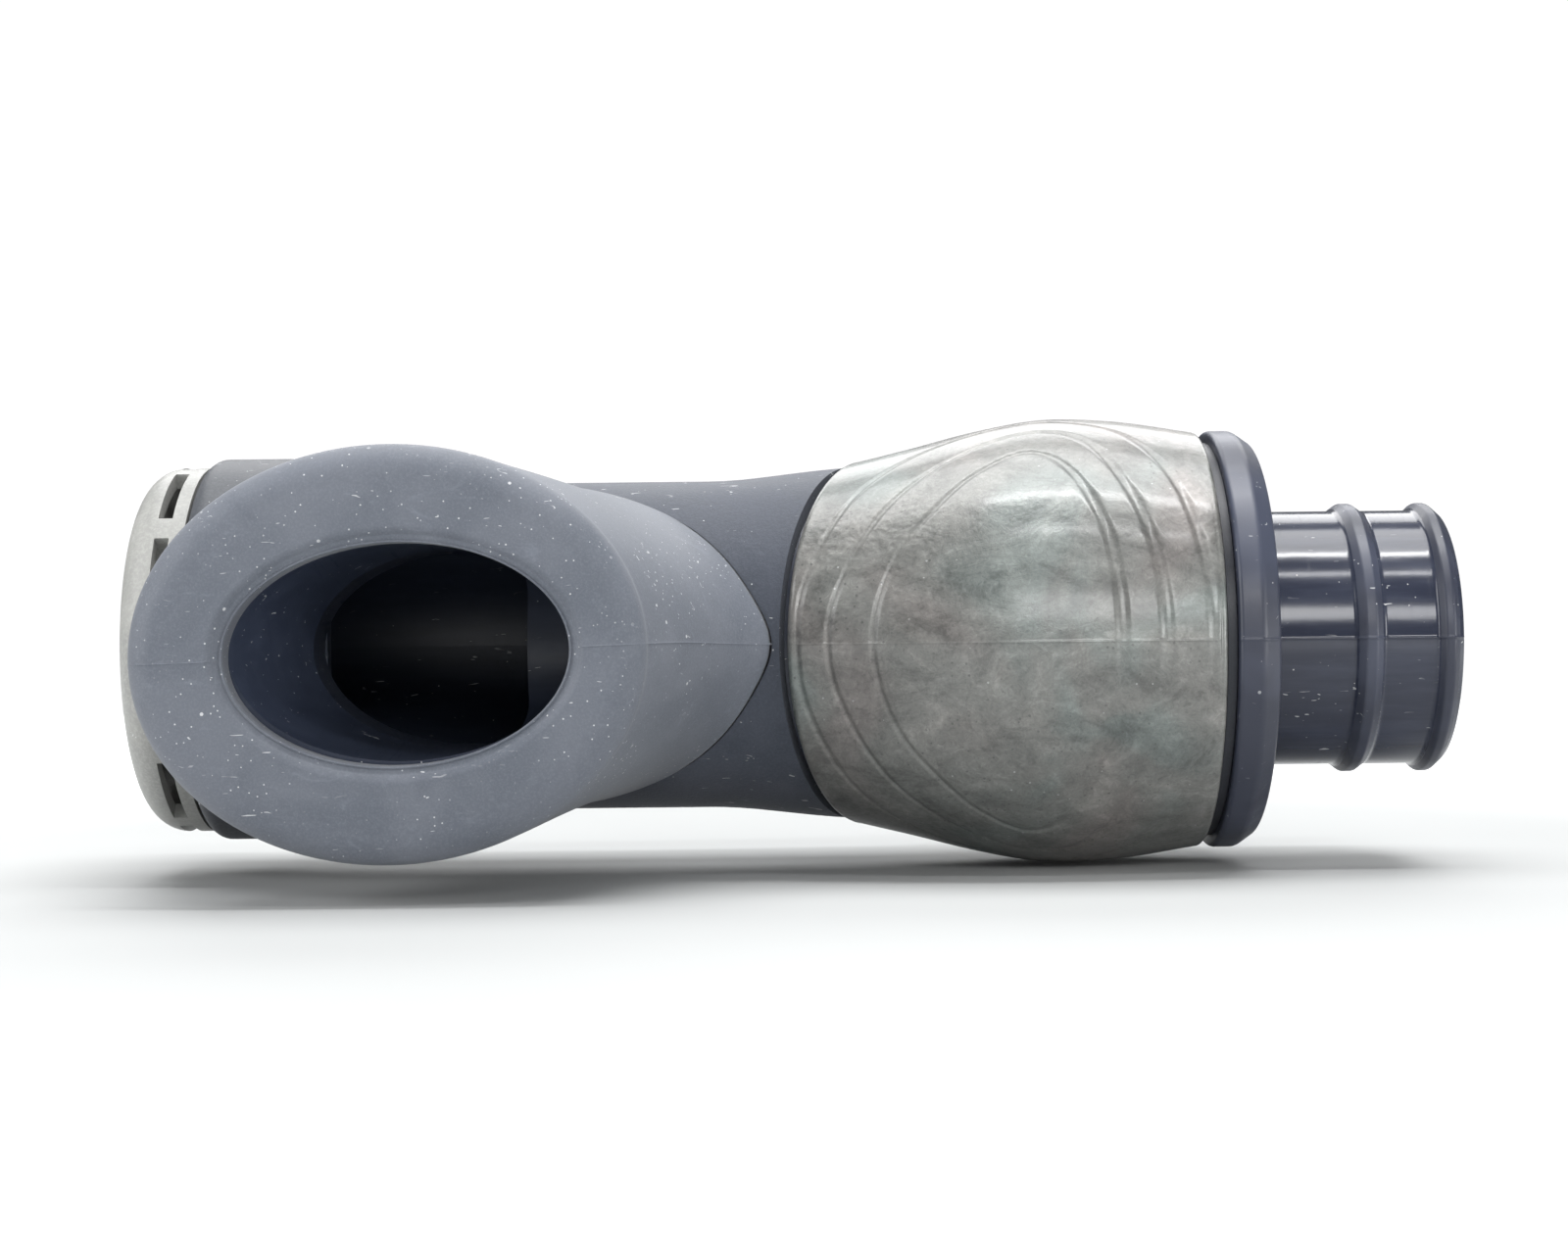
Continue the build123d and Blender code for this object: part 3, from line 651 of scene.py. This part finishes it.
def oval(centre, width, height, reach, ridge=0.0):
    """One row: an oval square to the port's axis, its mould line raised towards -Y."""
    y = -reach - ridge * PORT_FLASH + 0 * PORT_C
    return np.stack([centre + width * PORT_C, y, height * PORT_S], axis=-1)


def wall_row(up):
    """One row of the outer wall, from the flared root on the skin (0) to the rim (1)."""
    share = 1 - up
    centre = RIM_CENTRE + (ROOT_CENTRE - RIM_CENTRE) * share
    width = RIM_WIDTH + (ROOT_WIDTH - RIM_WIDTH) * share
    height = RIM_HEIGHT + (ROOT_HEIGHT - RIM_HEIGHT) * share
    x, z = centre + width * PORT_C, height * PORT_S
    ground = sleeve_top(x, z)
    tip = 0.8 + 0.85 * (PORT_C + 1) * (0.5 + 0.55 * np.exp(-(z / 3.5) ** 2))
    flare = tip * np.exp(-(RIM_REACH - ground) * up / 2.4)
    x, z = x + (flare + PORT_FLASH) * PORT_C, z + 0.3 * flare * PORT_S
    ground = sleeve_top(x, z)
    return np.stack([x, -ground - (RIM_REACH - ground) * up, z], axis=-1)


def rim_rows():
    """The rounded rim, and the face that slopes in to the mouth."""
    fillet, crown = 2.7, 0.12
    rows = []
    for turn in np.linspace(0, math.pi / 2, 14)[1:]:
        inward = fillet * (1 - math.cos(turn))
        rise = (PORT_REACH - crown - RIM_REACH) * math.sin(turn)
        rows.append(oval(
            RIM_CENTRE, RIM_WIDTH - inward, RIM_HEIGHT - inward,
            RIM_REACH + rise, math.sin(turn),
        ))
    for inner in np.linspace(0, 1, 14)[1:]:
        rows.append(oval(
            RIM_CENTRE + (MOUTH_CENTRE - RIM_CENTRE) * inner,
            RIM_WIDTH - fillet - (RIM_WIDTH - fillet - MOUTH_WIDTH - 1.15) * inner,
            RIM_HEIGHT - fillet - (RIM_HEIGHT - fillet - MOUTH_HEIGHT - 1.1) * inner,
            PORT_REACH - crown + crown * math.sin(math.pi / 2 * min(1, 2 * inner)),
            1.0,
        ))
    return rows


def throat_rows():
    """The mouth's bevel and thin lip, and the passage down to the skin."""
    lip_foot = PORT_REACH - FUNNEL_REACH - 0.15
    arc_steps = 4
    lip = rounded([
        (1.15, 0.0, 0.25), (0.72, 0.52, 0.35), (0.30, 0.66, 0.1), (0.2, 0.5, 0.08),
        (0.06, 0.5, 0.06), (0.0, 0.8, 0.1), (0.0, lip_foot, 0.15), (2.2, lip_foot, 0),
    ], arc_steps)
    rows = []
    for out, down in lip[arc_steps + 1:]:
        rows.append(oval(
            MOUTH_CENTRE, MOUTH_WIDTH + out, MOUTH_HEIGHT + 0.95 * out, PORT_REACH - down,
        ))
    for down in np.linspace(0, 1, 12)[1:]:
        rows.append(oval(
            MOUTH_CENTRE + (COLLAR_CENTRE - MOUTH_CENTRE) * down,
            MOUTH_WIDTH + 1.9 + (COLLAR_WIDTH - MOUTH_WIDTH - 1.6) * down,
            MOUTH_HEIGHT + 2.0 + (COLLAR_HEIGHT - MOUTH_HEIGHT - 1.2) * down,
            FUNNEL_REACH - 0.2 - (FUNNEL_REACH - 20.2) * down,
        ))
    x, z = COLLAR_CENTRE + (COLLAR_WIDTH + 0.9) * PORT_C, (COLLAR_HEIGHT + 0.9) * PORT_S
    rows.append(np.stack([x, -sleeve_top(x, z), z], axis=-1))
    return rows


def mouth_port():
    """Soft oval port: flared wall, rounded rim, mouth with a thin lip, and passage."""
    wall = [wall_row(up) for up in np.linspace(0, 1, 64)]
    points = twisted(np.stack(wall + rim_rows() + throat_rows()))
    piece_of(
        "mouth_port_silicone", points.reshape(-1, 3), grid_faces(*points.shape[:2]),
        SILICONE, "housing", "mouth_port_boot",
    )


hose_connector()
cowl()
mouth_port()


# ---------------------------------------------------------------- floor, light, camera
def floor():
    """Pale floor under the lowest point of the part. Away from the part it glows, so
    that it meets the white surround with no line."""
    half_width, front, back, drop = 0.9, 0.6, 0.5, 0.0002
    glow_from, glow_full, glow = 0.09, 0.20, 0.8
    mesh = bpy.data.meshes.new("floor")
    z = cad_low.z - drop
    corners = [(-half_width, -front, z), (half_width, -front, z),
               (half_width, back, z), (-half_width, back, z)]
    mesh.from_pydata(corners, [], [(0, 1, 2, 3)])
    material, tree, shader, place = material_nodes("floor_pale")
    tone = noise(tree, place, 180.0, 2.0)
    tree.links.new(
        ramp(tree, tone, [(0.3, (0.44, 0.45, 0.45)), (0.7, (0.47, 0.48, 0.48))]),
        shader.inputs["Base Color"],
    )
    shader.inputs["Roughness"].default_value = 0.75
    far = ramp(tree, radius_of(tree, place, (0, 1)), [(glow_from, 0.0), (glow_full, glow)])
    tree.links.new(far, shader.inputs["Emission Color"])
    shader.inputs["Emission Strength"].default_value = 1.0
    mesh.materials.append(material)
    ground = bpy.data.objects.new("floor", mesh)
    ground.location.x = (cad_low.x + cad_high.x) / 2
    bpy.context.scene.collection.objects.link(ground)


def lamp(name, place, aim, size, power):
    """Soft white rectangular light at a place, facing aim, in metres and watts."""
    data = bpy.data.lights.new(name, "AREA")
    data.shape = "RECTANGLE"
    data.size, data.size_y = size
    data.energy = power
    light = bpy.data.objects.new(name, data)
    bpy.context.scene.collection.objects.link(light)
    light.location = place
    light.rotation_euler = (Vector(aim) - Vector(place)).to_track_quat("-Z", "Y").to_euler()


def from_elevation(degrees, distance, along):
    """Place round the airway: 0 degrees is on the camera's side and 90 is overhead."""
    angle = math.radians(degrees)
    return (along, -distance * math.cos(angle), distance * math.sin(angle))


def lights():
    """Two thin strips for sharp highlights, a soft box overhead as the main light, a
    back and a front fill, and a card at each end."""
    distance = 0.70
    for name, degrees, along, size, power in (
        ("overhead_long", 80, 0.08, (0.46, 0.035), 2.2),
        ("overhead_front", 59, 0.10, (0.40, 0.025), 0.9),
        ("overhead_soft", 98, -0.03, (0.75, 0.40), 5.2),
        ("back_high", 140, -0.04, (0.80, 0.30), 3.0),
        ("front_low", 22, 0.10, (0.36, 0.14), 1.5),
    ):
        place = from_elevation(degrees, distance, along)
        lamp(name, place, (along, 0.0, 0.0), size, power)
    lamp("left_card", (-0.50, -0.22, 0.14), (-0.12, 0.0, 0.0), (0.30, 0.40), 1.8)
    lamp("right_card", (0.42, -0.26, 0.02), (0.0, 0.0, 0.0), (0.22, 0.22), 1.2)


def surround():
    """World that is white where the camera sees it and dim where it lights the part."""
    seen_strength, lit_strength = 1.05, 0.17
    world = bpy.data.worlds.new("studio")
    bpy.context.scene.world = world
    world.use_nodes = True
    tree = world.node_tree
    background = tree.nodes["Background"]
    seen = tree.nodes.new("ShaderNodeBackground")
    seen.inputs["Color"].default_value = (1, 1, 1, 1)
    seen.inputs["Strength"].default_value = seen_strength
    background.inputs["Color"].default_value = (0.97, 0.99, 1.0, 1)
    background.inputs["Strength"].default_value = lit_strength
    path = tree.nodes.new("ShaderNodeLightPath")
    choose = tree.nodes.new("ShaderNodeMixShader")
    tree.links.new(path.outputs["Is Camera Ray"], choose.inputs[0])
    tree.links.new(background.outputs[0], choose.inputs[1])
    tree.links.new(seen.outputs[0], choose.inputs[2])
    tree.links.new(choose.outputs[0], tree.nodes["World Output"].inputs["Surface"])
    bpy.context.scene.view_settings.view_transform = "Standard"


def camera():
    """Camera square to the airway, level with it, at the photograph's distance."""
    data = bpy.data.cameras.new("camera")
    data.sensor_width = 36.0
    data.lens = 59.4
    data.clip_start = 0.01
    eye = bpy.data.objects.new("camera", data)
    bpy.context.scene.collection.objects.link(eye)
    level = Matrix.Rotation(math.radians(90), 4, "X")
    roll = Matrix.Rotation(math.radians(0.61), 4, "Y")
    eye.matrix_world = Matrix.Translation((-0.0616, -0.246, 0.00137)) @ roll @ level
    bpy.context.scene.camera = eye


floor()
lights()
surround()
camera()
